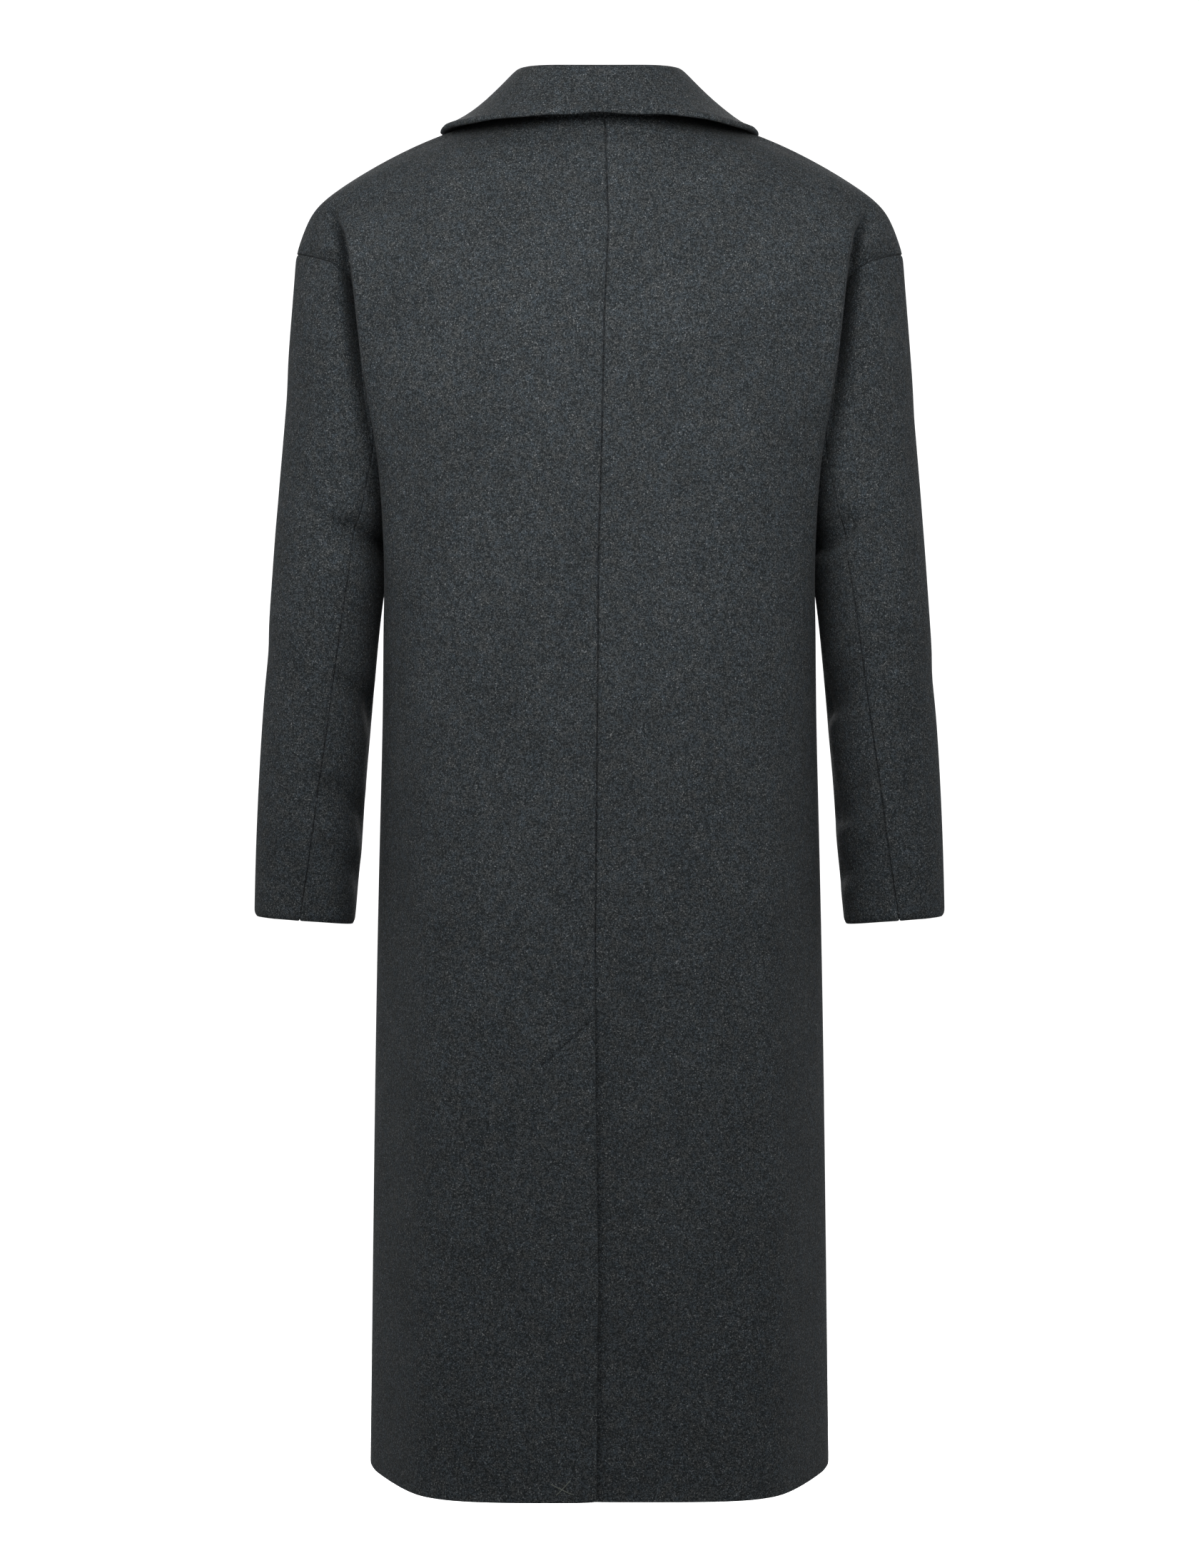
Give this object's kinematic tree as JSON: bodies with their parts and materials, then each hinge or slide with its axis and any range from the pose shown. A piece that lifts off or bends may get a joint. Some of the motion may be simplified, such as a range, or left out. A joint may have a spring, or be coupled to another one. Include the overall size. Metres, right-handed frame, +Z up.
{
  "type": "long wool overcoat",
  "caption": "Long single-breasted wool overcoat, hollow and filled out as if worn, with a folded collar, lapels, dropped shoulders, full sleeves and a centre back vent.",
  "frame": {"origin": "middle of the neck opening, where the wearer's shoulders and neck hold the coat", "axes": "+Z up along the coat's length, -Y the way the coat faces, +X the wearer's left"},
  "size_m": [0.6138, 0.3155, 1.2268],
  "materials": {
    "wool": "matte felted melange",
    "button": "satin"
  },
  "bodies": {
    "root": {"back_left": "wool", "back_right": "wool", "front_left": "wool", "front_right": "wool", "sleeve_top_left": "wool", "sleeve_top_right": "wool", "sleeve_under_left": "wool", "sleeve_under_right": "wool", "collar": "wool", "lapel_left": "wool", "lapel_right": "wool", "button_top": "button", "button_middle": "button", "button_bottom": "button"}
  },
  "joints": []
}
